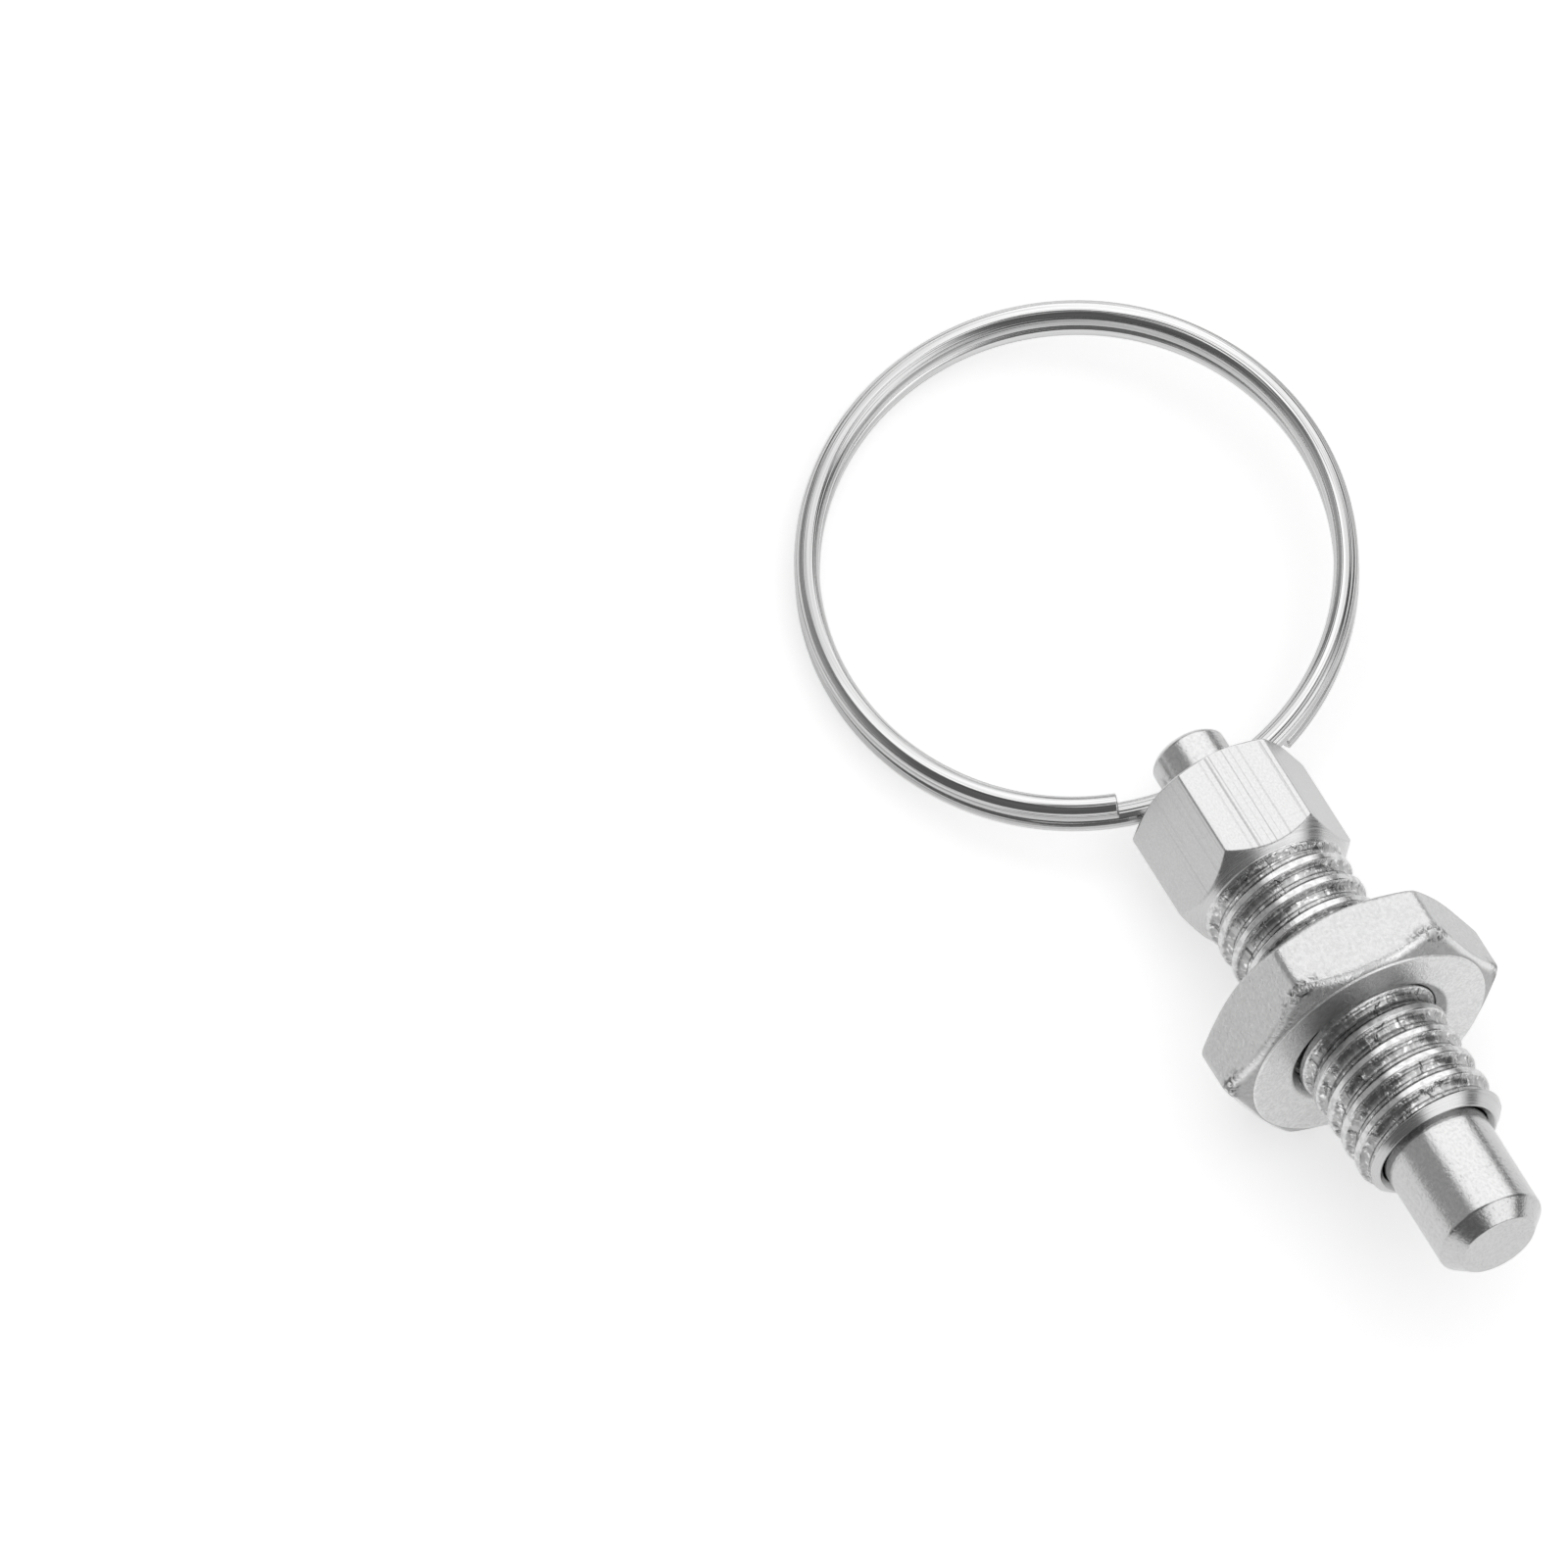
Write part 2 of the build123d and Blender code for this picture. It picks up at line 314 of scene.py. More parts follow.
def coil_mesh(name, radius, wire, turns, steps, height_at):
    """Round wire bent into a coil round Z, with its cut ends broken, and its grain along the wire."""
    made = bmesh.new()
    grain_layer = made.verts.layers.float_vector.new("grain")
    half = wire / 2
    length = 2 * math.pi * radius * turns
    break_edge = half * 0.18
    # The break is an arc, with a point between its ends
    on_arc = (break_edge * 0.3 / length, half - break_edge * 0.05)

    def centre(u):
        turn = 2 * math.pi * turns * u
        return Vector((radius * math.cos(turn), radius * math.sin(turn), height_at(u)))

    whole = length - 2 * break_edge
    sections = [
        (0, half - break_edge), on_arc,
        *(((break_edge + whole * i / steps) / length, half) for i in range(steps + 1)),
        (1 - on_arc[0], on_arc[1]), (1, half - break_edge)]
    rings = []
    for u, section_radius in sections:
        turn = 2 * math.pi * turns * u
        tangent = (centre(u + 1e-4) - centre(u - 1e-4)).normalized()
        outward = Vector((math.cos(turn), math.sin(turn), 0))
        across = tangent.cross(outward).normalized()
        ring = []
        for k in range(WIRE_COLUMNS):
            a = 2 * math.pi * k / WIRE_COLUMNS
            x, y = math.cos(a) * section_radius, math.sin(a) * section_radius
            vert = made.verts.new(centre(u) + outward * x + across * y)
            vert[grain_layer] = Vector((x, y, length * u)) / MM
            ring.append(vert)
        rings.append(ring)
    for one, other in zip(rings, rings[1:]):
        for k in range(WIRE_COLUMNS):
            n = (k + 1) % WIRE_COLUMNS
            made.faces.new((one[k], one[n], other[n], other[k])).smooth = True
    made.faces.new(list(reversed(rings[0])))
    made.faces.new(rings[-1])
    bmesh.ops.recalc_face_normals(made, faces=made.faces)
    mesh = bpy.data.meshes.new(name)
    made.to_mesh(mesh)
    made.free()
    return mesh


def set_grain(mesh):
    """Stores each point's upright place in millimetres, which the finishes' patterns follow."""
    grain = mesh.attributes.new("grain", "FLOAT_VECTOR", "POINT")
    for vert in mesh.vertices:
        grain.data[vert.index].vector = vert.co / MM


def place(mesh, placement, body, node, materials):
    """Puts a finished mesh where its CAD node is, in that node's stead and riding on its body."""
    for material in materials:
        mesh.materials.append(material)
    mesh.transform(placement)
    piece = bpy.data.objects.new(mesh.name, mesh)
    bpy.context.scene.collection.objects.link(piece)
    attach(piece, body)
    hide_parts(node)
    return piece


def set_inputs(tree, node, inputs):
    """Sets a node's inputs to values, or links them to a socket or to a node's first output in use."""
    for name, value in inputs.items():
        if isinstance(value, bpy.types.Node):
            value = next(output for output in value.outputs if output.enabled)
        if isinstance(value, bpy.types.NodeSocket):
            tree.links.new(value, node.inputs[name])
        else:
            node.inputs[name].default_value = value


def add_node(tree, kind, inputs=None, **settings):
    """Adds a shader node with its settings, and sets or links its inputs."""
    made = tree.nodes.new("ShaderNode" + kind)
    made.location = (NODE_SPACING * len(tree.nodes), 0)
    for name, value in settings.items():
        setattr(made, name, value)
    set_inputs(tree, made, inputs or {})
    return made


def metal(name):
    """New metal: its material, node tree and shader."""
    material = bpy.data.materials.new(name)
    material.use_nodes = True
    tree = material.node_tree
    tree.nodes.clear()
    shader = add_node(tree, "BsdfPrincipled", {"Metallic": 1.0})
    add_node(tree, "OutputMaterial", {"Surface": shader})
    return material, tree, shader


def grain_place(tree):
    """A point's upright place in millimetres, which stays with it when its piece moves."""
    return add_node(tree, "Attribute", attribute_name="grain").outputs["Vector"]


def grain_radius(tree):
    """How far a point lies from the pin's axis, in millimetres."""
    flat = add_node(tree, "VectorMath", {0: grain_place(tree), 1: (1, 1, 0)}, operation="MULTIPLY")
    return add_node(tree, "VectorMath", {0: flat}, operation="LENGTH")


def stretched_grain(tree, across, along):
    """The grain's place in pattern units, with this many to the millimetre across it and along it."""
    return add_node(tree, "VectorMath", {
        0: grain_place(tree), 1: (across, across, along)}, operation="MULTIPLY")


def turning_marks(tree, lines_per_mm):
    """Pattern units that change fast along the axis and the radius, and slowly round them."""
    parts = add_node(tree, "SeparateXYZ", {"Vector": grain_place(tree)})
    rings = add_node(tree, "Math", {0: grain_radius(tree), 1: parts.outputs["Z"]}, operation="ADD")
    fast = add_node(tree, "Math", {0: rings, 1: lines_per_mm}, operation="MULTIPLY")
    lift = add_node(tree, "CombineXYZ", {"Z": fast})
    return add_node(tree, "VectorMath", {
        0: grain_place(tree), 1: (0.2, 0.2, 0), 2: lift}, operation="MULTIPLY_ADD")


def turned_steel(finish):
    """Free-cutting steel turned on a lathe: fine rings round the axis, which blur reflections along it."""
    material, tree, shader = metal("turned_steel")
    # Feed marks of 0.05 mm are drawn as 0.14 mm, to show in the picture
    marks = add_node(tree, "TexNoise", {
        "Vector": turning_marks(tree, 7.0), "Scale": 1.0, "Detail": 3.0, "Roughness": 0.6})
    rough = add_node(tree, "MapRange", {
        "Value": marks, "From Min": 0.3, "From Max": 0.7, "To Min": 0.17, "To Max": 0.33})
    bump = add_node(tree, "Bump", {"Height": marks, "Strength": 0.5, "Distance": 0.02 * MM})
    set_inputs(tree, shader, {"Base Color": finish.turned_steel, "Roughness": rough, "Normal": bump})
    return material


def drawn_steel(finish):
    """Hexagon bar drawn through a die: pale, finely grained, with a few die lines along the bar."""
    material, tree, shader = metal("drawn_hexagon_steel")
    broad = add_node(tree, "TexNoise", {
        "Vector": stretched_grain(tree, 0.9, 0.02), "W": 1.0, "Scale": 1.0, "Detail": 1.0},
        noise_dimensions="4D")
    lines = add_node(tree, "TexNoise", {
        "Vector": stretched_grain(tree, 5.0, 0.02), "Scale": 1.0, "Detail": 2.0, "Roughness": 0.6})
    # The bar's grain is a few hundredths of a millimetre, and is drawn as 0.12 mm to show
    grain = add_node(tree, "TexNoise", {
        "Vector": stretched_grain(tree, 8.0, 5.0), "Scale": 1.0, "Detail": 3.0, "Roughness": 0.8})
    struck = add_node(tree, "MapRange", {"Value": broad, "From Min": 0.45, "From Max": 0.6})
    line = add_node(tree, "MapRange", {"Value": lines, "From Min": 0.55, "From Max": 0.66, "To Max": 0.35})
    scored = add_node(tree, "Math", {0: struck, 1: line}, operation="MULTIPLY")
    speckle = add_node(tree, "MapRange", {
        "Value": grain, "From Min": 0.4, "From Max": 0.6, "To Min": 0.88, "To Max": 1.04})
    shade = add_node(tree, "Math", {0: speckle, 1: scored}, operation="SUBTRACT")
    tint = add_node(tree, "Mix", {"Factor": 1.0, "A": finish.drawn_steel, "B": shade}, **SHADED)
    rough = add_node(tree, "MapRange", {
        "Value": grain, "From Min": 0.3, "From Max": 0.7, "To Min": 0.26, "To Max": 0.42})
    bump = add_node(tree, "Bump", {"Height": lines, "Strength": 0.5, "Distance": 0.03 * MM})
    set_inputs(tree, shader, {"Base Color": tint, "Roughness": rough, "Normal": bump})
    return material


def cut_thread(finish, crest_radius):
    """Thread cut in one pass: bright crests, and torn, chattered steel with flecks in the grooves; the
    grooves carry painted shade, darkest in the tears, and the flecks painted glints.
    """
    material, tree, shader = metal("cut_thread_steel")
    radius = grain_radius(tree)
    crest_mm = crest_radius / MM
    ragged = add_node(tree, "TexNoise", {
        "Vector": stretched_grain(tree, 4.0, 4.0), "Scale": 1.0, "Detail": 2.0})
    edge = add_node(tree, "Math", {0: ragged, 1: 0.25, 2: radius}, operation="MULTIPLY_ADD")
    groove = add_node(tree, "MapRange", {
        "Value": edge, "From Min": crest_mm + 0.05, "From Max": crest_mm - 0.04})
    # Chatter crosses the groove at two marks to the millimetre, and some tears break it, 2 mm apart
    chatter = add_node(tree, "TexNoise", {
        "Vector": stretched_grain(tree, 2.0, 1.2), "Scale": 1.0, "Detail": 3.0, "Roughness": 0.55,
        "Distortion": 0.5})
    bent = add_node(tree, "VectorMath", {
        0: chatter.outputs["Color"], 1: (0.5, 0.5, 0.5), 2: stretched_grain(tree, 0.6, 0.2)},
        operation="MULTIPLY_ADD")
    tears = add_node(tree, "TexVoronoi", {"Vector": bent, "Scale": 1.0}, feature="DISTANCE_TO_EDGE")
    patches = add_node(tree, "TexNoise", {
        "Vector": stretched_grain(tree, 0.8, 0.8), "Scale": 1.0, "Detail": 1.0})
    crack = add_node(tree, "MapRange", {"Value": tears, "From Max": 0.04, "To Min": 1.0, "To Max": 0.0})
    torn = add_node(tree, "MapRange", {"Value": patches, "From Min": 0.5, "From Max": 0.58})
    gash = add_node(tree, "Math", {0: crack, 1: torn}, operation="MULTIPLY")
    flecks = add_node(tree, "TexNoise", {
        "Vector": stretched_grain(tree, 2.2, 3.0), "Scale": 1.0, "Detail": 2.0, "Roughness": 0.5})
    # Flecks of torn steel, with painted glints: they raise the groove's colour by up to 1.1
    fleck_and_glint = add_node(tree, "MapRange", {"Value": flecks, "From Min": 0.56, "From Max": 0.72, "To Max": 1.1})
    spread = add_node(tree, "MapRange", {
        "Value": chatter, "From Min": 0.4, "From Max": 0.6, "To Min": 0.7, "To Max": 1.1})
    lit = add_node(tree, "Math", {0: spread, 1: fleck_and_glint}, operation="ADD")
    # Painted shade in the tears: their colour is darkened by half
    shade = add_node(tree, "Math", {0: gash, 1: -0.5, 2: lit}, operation="MULTIPLY_ADD")
    # Painted shade: the grooves' steel is darker than the crests'
    shaded_groove_tint = add_node(tree, "Mix", {"Factor": 1.0, "A": finish.shaded_thread_groove, "B": shade}, **SHADED)
    wear = add_node(tree, "MapRange", {
        "Value": flecks, "From Min": 0.35, "From Max": 0.55, "To Min": 0.76, "To Max": 1.0})
    crest_tint = add_node(tree, "Mix", {"Factor": 1.0, "A": finish.thread_crest, "B": wear}, **SHADED)
    tint = add_node(tree, "Mix", {"Factor": groove, "A": crest_tint, "B": shaded_groove_tint}, data_type="RGBA")
    rough = add_node(tree, "MapRange", {
        "Value": chatter, "From Min": 0.35, "From Max": 0.65, "To Min": 0.18, "To Max": 0.3})
    depth = add_node(tree, "MapRange", {"Value": groove, "To Min": 0.1, "To Max": 1.0})
    raised = add_node(tree, "Math", {0: fleck_and_glint, 1: 0.12, 2: chatter}, operation="MULTIPLY_ADD")
    relief = add_node(tree, "Math", {0: raised, 1: gash}, operation="SUBTRACT")
    height = add_node(tree, "Math", {0: relief, 1: depth}, operation="MULTIPLY")
    bump = add_node(tree, "Bump", {"Height": height, "Strength": 0.9, "Distance": 0.045 * MM})
    set_inputs(tree, shader, {"Base Color": tint, "Roughness": rough, "Normal": bump})
    return material


def ground_steel(finish):
    """Hardened pin, ground and then handled: satin, with hair-fine rings and a finely pitted skin."""
    material, tree, shader = metal("ground_steel")
    # Grinding lines of a few hundredths of a millimetre are drawn as 0.1 mm
    rings = add_node(tree, "TexNoise", {"Vector": turning_marks(tree, 10.0), "Scale": 1.0, "Detail": 2.0})
    # The skin's pits are 0.1 to 0.2 mm wide
    skin = add_node(tree, "TexNoise", {
        "Vector": stretched_grain(tree, 5.0, 4.0), "Scale": 1.0, "Detail": 3.0, "Roughness": 0.6})
    pit = add_node(tree, "MapRange", {
        "Value": skin, "From Min": 0.28, "From Max": 0.4, "To Min": -0.4, "To Max": 0.0})
    rough = add_node(tree, "MapRange", {
        "Value": skin, "From Min": 0.35, "From Max": 0.65, "To Min": 0.17, "To Max": 0.27})
    shade = add_node(tree, "MapRange", {
        "Value": skin, "From Min": 0.35, "From Max": 0.6, "To Min": 0.88, "To Max": 1.02})
    tint = add_node(tree, "Mix", {"Factor": 1.0, "A": finish.ground_steel, "B": shade}, **SHADED)
    marks = add_node(tree, "Math", {0: rings, 1: skin}, operation="ADD")
    height = add_node(tree, "Math", {0: marks, 1: pit}, operation="ADD")
    bump = add_node(tree, "Bump", {"Height": height, "Strength": 0.6, "Distance": 0.02 * MM})
    set_inputs(tree, shader, {"Base Color": tint, "Roughness": rough, "Normal": bump})
    return material


def nut_steel(finish, nut, corner_radius):
    """Nut forged from bar and tumbled: a pebbled skin, crumpled near corners, a painted highlight on the
    rolled rim, and painted shade on the chamfer and in the corners' creases.
    """
    material, tree, shader = metal("tumbled_nut_steel")
    pebbles = add_node(tree, "TexNoise", {
        "Vector": stretched_grain(tree, 3.5, 3.5), "Scale": 1.0, "Detail": 4.0, "Roughness": 0.6})
    hairs = add_node(tree, "TexNoise", {
        "Vector": stretched_grain(tree, 6.0, 5.0), "Scale": 1.0, "Detail": 3.0, "Distortion": 0.8})
    # The forge folds the skin at the corners, in wrinkles about 0.4 mm apart
    wrinkles = add_node(tree, "TexNoise", {
        "Vector": stretched_grain(tree, 2.4, 2.4), "Scale": 1.0, "Detail": 3.0, "Distortion": 1.2})
    radius = grain_radius(tree)
    corner_mm = corner_radius / MM
    near_mm = NUT_FACE / MM
    parts = add_node(tree, "SeparateXYZ", {"Vector": grain_place(tree)})
    # The rim climbs with the radius as the chamfer does, so this height is the same all round it
    rim_height = add_node(tree, "Math", {
        0: radius, 1: -CHAMFER_SLOPE, 2: parts.outputs["Z"]}, operation="MULTIPLY_ADD")
    rolled = nut.rolled_rim * (1 - CHAMFER_SLOPE) / MM
    rim_top = near_mm + (nut.face_step - nut.face_diameter / 2 * CHAMFER_SLOPE) / MM + rolled
    above_chamfer = add_node(tree, "MapRange", {
        "Value": rim_height, "From Min": rim_top - rolled, "From Max": rim_top - 0.5 * rolled})
    below_flat = add_node(tree, "MapRange", {
        "Value": rim_height, "From Min": rim_top + 0.6 * rolled, "From Max": rim_top})
    rim = add_node(tree, "Math", {0: above_chamfer, 1: below_flat}, operation="MULTIPLY")
    outer = add_node(tree, "MapRange", {
        "Value": radius, "From Min": corner_mm - 1.0, "From Max": corner_mm - 0.4, "To Max": 4.0})
    ending = add_node(tree, "MapRange", {
        "Value": parts.outputs["Z"], "From Min": near_mm + 1.6, "From Max": near_mm + 1.0})
    crumpled = add_node(tree, "Math", {0: outer, 1: ending}, operation="MULTIPLY")
    folds = add_node(tree, "Math", {0: wrinkles, 1: crumpled}, operation="MULTIPLY")
    shade = add_node(tree, "MapRange", {
        "Value": pebbles, "From Min": 0.4, "From Max": 0.6, "To Min": 0.63, "To Max": 0.73})
    # Painted shade: the chamfer under the rolled rim stays 0.3 darker than the flats
    with_chamfer_shade = add_node(tree, "Math", {0: above_chamfer, 1: 0.3, 2: shade}, operation="MULTIPLY_ADD")
    # Painted shade in the creases of the wrinkles at the crumpled near corners
    crease = add_node(tree, "MapRange", {
        "Value": wrinkles, "From Min": 0.46, "From Max": 0.58, "To Max": 0.25})
    crease_shade = add_node(tree, "Math", {0: crease, 1: crumpled}, operation="MULTIPLY")
    # Painted highlight: the rolled rim's colour is raised by 0.45
    rim_highlight = add_node(tree, "Math", {0: rim, 1: 0.45, 2: with_chamfer_shade}, operation="MULTIPLY_ADD")
    darkened = add_node(tree, "Math", {0: rim_highlight, 1: crease_shade}, operation="SUBTRACT")
    tint = add_node(tree, "Mix", {"Factor": 1.0, "A": finish.nut_steel, "B": darkened}, **SHADED)
    rough = add_node(tree, "MapRange", {
        "Value": hairs, "From Min": 0.3, "From Max": 0.7, "To Min": 0.24, "To Max": 0.42})
    skin = add_node(tree, "Math", {0: pebbles, 1: hairs}, operation="ADD")
    height = add_node(tree, "Math", {0: skin, 1: folds}, operation="ADD")
    bump = add_node(tree, "Bump", {"Height": height, "Strength": 0.6, "Distance": 0.05 * MM})
    set_inputs(tree, shader, {"Base Color": tint, "Roughness": rough, "Normal": bump})
    return material


def faced_steel(finish):
    """Nut's faces, cut flat and scuffed by the plates they were tightened on: light, with short scratches."""
    material, tree, shader = metal("faced_nut_steel")
    scuffs = add_node(tree, "TexNoise", {
        "Vector": stretched_grain(tree, 2.2, 2.2), "Scale": 1.0, "Detail": 3.0, "Distortion": 2.5})
    scuff = add_node(tree, "MapRange", {
        "Value": scuffs, "From Min": 0.4, "From Max": 0.6, "To Min": 0.88, "To Max": 1.05})
    tint = add_node(tree, "Mix", {"Factor": 1.0, "A": finish.faced_steel, "B": scuff}, **SHADED)
    bump = add_node(tree, "Bump", {"Height": scuffs, "Strength": 0.6, "Distance": 0.06 * MM})
    set_inputs(tree, shader, {"Base Color": tint, "Roughness": 0.34, "Normal": bump})
    return material


def polished_wire(finish):
    """Bright-drawn stainless wire: a soft mirror, with grey and light lines along it from the die."""
    material, tree, shader = metal("polished_wire")
    lines = add_node(tree, "TexNoise", {
        "Vector": stretched_grain(tree, 5.0, 0.04), "Scale": 1.0, "Detail": 2.0})
    rough = add_node(tree, "MapRange", {
        "Value": lines, "From Min": 0.3, "From Max": 0.7, "To Min": 0.1, "To Max": 0.24})
    streaks = add_node(tree, "TexNoise", {
        "Vector": stretched_grain(tree, 3.0, 0.03), "Scale": 1.0, "Detail": 3.0, "Roughness": 0.7})
    shade = add_node(tree, "MapRange", {
        "Value": streaks, "From Min": 0.36, "From Max": 0.62, "To Min": 0.62, "To Max": 1.06})
    tint = add_node(tree, "Mix", {"Factor": 1.0, "A": finish.wire_steel, "B": shade}, **SHADED)
    bump = add_node(tree, "Bump", {"Height": lines, "Strength": 0.6, "Distance": 0.12 * MM})
    set_inputs(tree, shader, {"Base Color": tint, "Roughness": rough, "Normal": bump})
    return material


def spring_steel(finish):
    """Patented spring wire: dull grey, drawn and lightly oiled."""
    material, tree, shader = metal("spring_steel")
    lines = add_node(tree, "TexNoise", {
        "Vector": stretched_grain(tree, 10.0, 0.1), "Scale": 1.0, "Detail": 3.0})
    bump = add_node(tree, "Bump", {"Height": lines, "Strength": 0.4, "Distance": 0.01 * MM})
    set_inputs(tree, shader, {"Base Color": finish.spring_steel, "Roughness": 0.4, "Normal": bump})
    return material


def thread_turn(housing):
    """One turn of the thread's section, as (height above the crest's start, depth) points.

    The root is a shallow bowl between two flanks, so that it catches the light along its middle.
    """
    pitch, depth, crest_width = housing.thread_pitch, housing.thread_depth, housing.crest_width
    flank_depth = depth * 0.7
    # Each flank leans 30 degrees, as on a metric thread
    flank = flank_depth * math.tan(math.radians(30))
    half_groove = (pitch - crest_width) / 2
    section = [
        Corner(0, -pitch + crest_width),
        Corner(depth, -half_groove, 0.4 * MM),
        Corner(flank_depth, -flank, 0.12 * MM),
        Corner(0, 0, 0.06 * MM),
        Corner(0, crest_width, 0.06 * MM),
        Corner(flank_depth, crest_width + flank, 0.12 * MM),
        Corner(depth, crest_width + half_groove),
    ]
    points = rounded(section, closed=False)[1:-1]
    # A row along the middle of the crest keeps it level
    middle = crest_width / 2
    crest = next(i for i, point in enumerate(points) if point[1] > middle)
    points.insert(crest, (0, middle, 0))
    return [(height, depth) for depth, height, _ in points]


def make_housing_mesh(housing):
    """Body and head as one closed skin: thread, cone, hexagon, guide hole and chamber."""
    thread_radius = housing.thread_diameter / 2
    head_start = housing.length - housing.head_length
    face_radius = housing.across_flats / 2 - housing.face_inset
    bore_radius = housing.bore / 2
    guide_radius = housing.guide / 2
    nose_radius = thread_radius - NOSE_CHAMFER
    guide_chamfer = 0.12 * MM
    thread_margin = 0.05 * MM
    first, last = thread_margin, head_start - thread_margin
    pitch = housing.thread_pitch
    section = thread_turn(housing)
    turns_below = math.floor(first / pitch) - 2
    turns_above = math.ceil(last / pitch) + 1
    fade = 0.5 * MM
    turned, threaded, drawn = 0, 1, 2

    def thread_rows(turn):
        start = (turn + housing.thread_start) / (2 * math.pi) * pitch
        rows = []
        for n in range(turns_below, turns_above):
            for height, depth in section:
                z = min(max(start + n * pitch + height, first), last)
                runout = min(1, (last - z) / fade)
                cut = thread_radius - depth * runout
                chamfered = nose_radius + z
                rows.append((min(cut, chamfered), z, turned if chamfered < cut else threaded))
        return rows

    def outline(turn):
        flat = hexagon_radius(turn, housing.across_flats, housing.corner_rounding)
        cone_top = head_start + flat - thread_radius
        chamfer_start = housing.length - (flat - face_radius) * CHAMFER_SLOPE
        mouth = rounded([
            Corner(bore_radius, housing.mouth_chamfer * 2, 0, turned),
            Corner(bore_radius, housing.mouth_chamfer, 0.08 * MM, turned),
            Corner(bore_radius + housing.mouth_chamfer, 0, 0.05 * MM, turned),
            Corner(nose_radius, 0, 0.05 * MM, turned),
            Corner(nose_radius + first, first, 0, turned),
        ], closed=False)
        head = rounded([
            Corner(thread_radius, last, 0, turned),
            Corner(thread_radius, head_start, 0.1 * MM, turned),
            Corner(flat, cone_top, 0.1 * MM, drawn),
            Corner(flat, chamfer_start, 0.14 * MM, turned),
            Corner(face_radius, housing.length, 0.1 * MM, turned),
            Corner(guide_radius + guide_chamfer, housing.length, 0.04 * MM, turned),
            Corner(guide_radius, housing.length - guide_chamfer, 0.04 * MM, turned),
            Corner(guide_radius, CHAMBER_END, 0.04 * MM, turned),
            Corner(bore_radius, CHAMBER_END, 0.1 * MM, turned),
            Corner(bore_radius, housing.mouth_chamfer * 2, 0, turned),
        ], closed=False)
        return mouth[:-1] + thread_rows(turn) + head[1:-1]

    return revolved_mesh("housing_piece", hexagon_turns(), outline, closed=True)


def make_pin_mesh(pin):
    """Pin turned to its outline, then drilled across for the ring, with the hole's edges broken."""
    radius = pin.diameter / 2
    shaft = pin.shaft / 2
    shoulder_chamfer, tail_chamfer = 0.25 * MM, 0.35 * MM
    outline = rounded([
        Corner(0, -pin.reach),
        Corner(radius - pin.chamfer, -pin.reach, 0.07 * MM),
        Corner(radius, -pin.reach + pin.chamfer, 0.12 * MM),
        Corner(radius, pin.bearing - shoulder_chamfer, 0.08 * MM),
        Corner(radius - shoulder_chamfer, pin.bearing, 0.08 * MM),
        Corner(shaft, pin.bearing, 0.1 * MM),
        Corner(shaft, pin.tail - tail_chamfer, 0.12 * MM),
        Corner(shaft - tail_chamfer, pin.tail, 0.1 * MM),
        Corner(0, pin.tail),
    ], closed=False)
    mesh = revolved_mesh("plunger_pin_piece", round_turns(), lambda turn: outline, closed=False)
    hole = pin.cross_hole / 2
    reach = shaft + 1 * MM
    flare = 0.15 * MM
    edge = math.sqrt(shaft ** 2 - hole ** 2)
    drill_outline = rounded([
        Corner(0, -reach),
        Corner(hole + flare * 2 + reach - shaft, -reach),
        Corner(hole + flare * 0.2, -edge + flare * 0.5),
        Corner(hole, -edge + flare * 2),
        Corner(hole, edge - flare * 2),
        Corner(hole + flare * 0.2, edge - flare * 0.5),
        Corner(hole + flare * 2 + reach - shaft, reach),
        Corner(0, reach),
    ], closed=False)
    drill_mesh = revolved_mesh(
        "drill", round_turns(DRILL_COLUMNS), lambda turn: drill_outline, closed=False)
    across = Matrix.Rotation(PIN_TURN, 4, "Z") @ Matrix.Rotation(math.pi / 2, 4, "Y")
    drill_mesh.transform(Matrix.Translation((0, 0, HOLE_CENTRE)) @ across)
    return cut_away(mesh, drill_mesh)


def cut_away(mesh, cutter_mesh):
    """The mesh with the cutter's volume taken out of it."""
    name = mesh.name
    body = bpy.data.objects.new(name, mesh)
    cutter = bpy.data.objects.new(cutter_mesh.name, cutter_mesh)
    for item in (body, cutter):
        bpy.context.scene.collection.objects.link(item)
    cut = body.modifiers.new("cut", "BOOLEAN")
    cut.operation = "DIFFERENCE"
    cut.solver = "EXACT"
    cut.object = cutter
    ready = body.evaluated_get(bpy.context.evaluated_depsgraph_get())
    result = bpy.data.meshes.new_from_object(ready)
    for item in (body, cutter):
        data = item.data
        bpy.data.objects.remove(item)
        bpy.data.meshes.remove(data)
    result.name = name
    return result


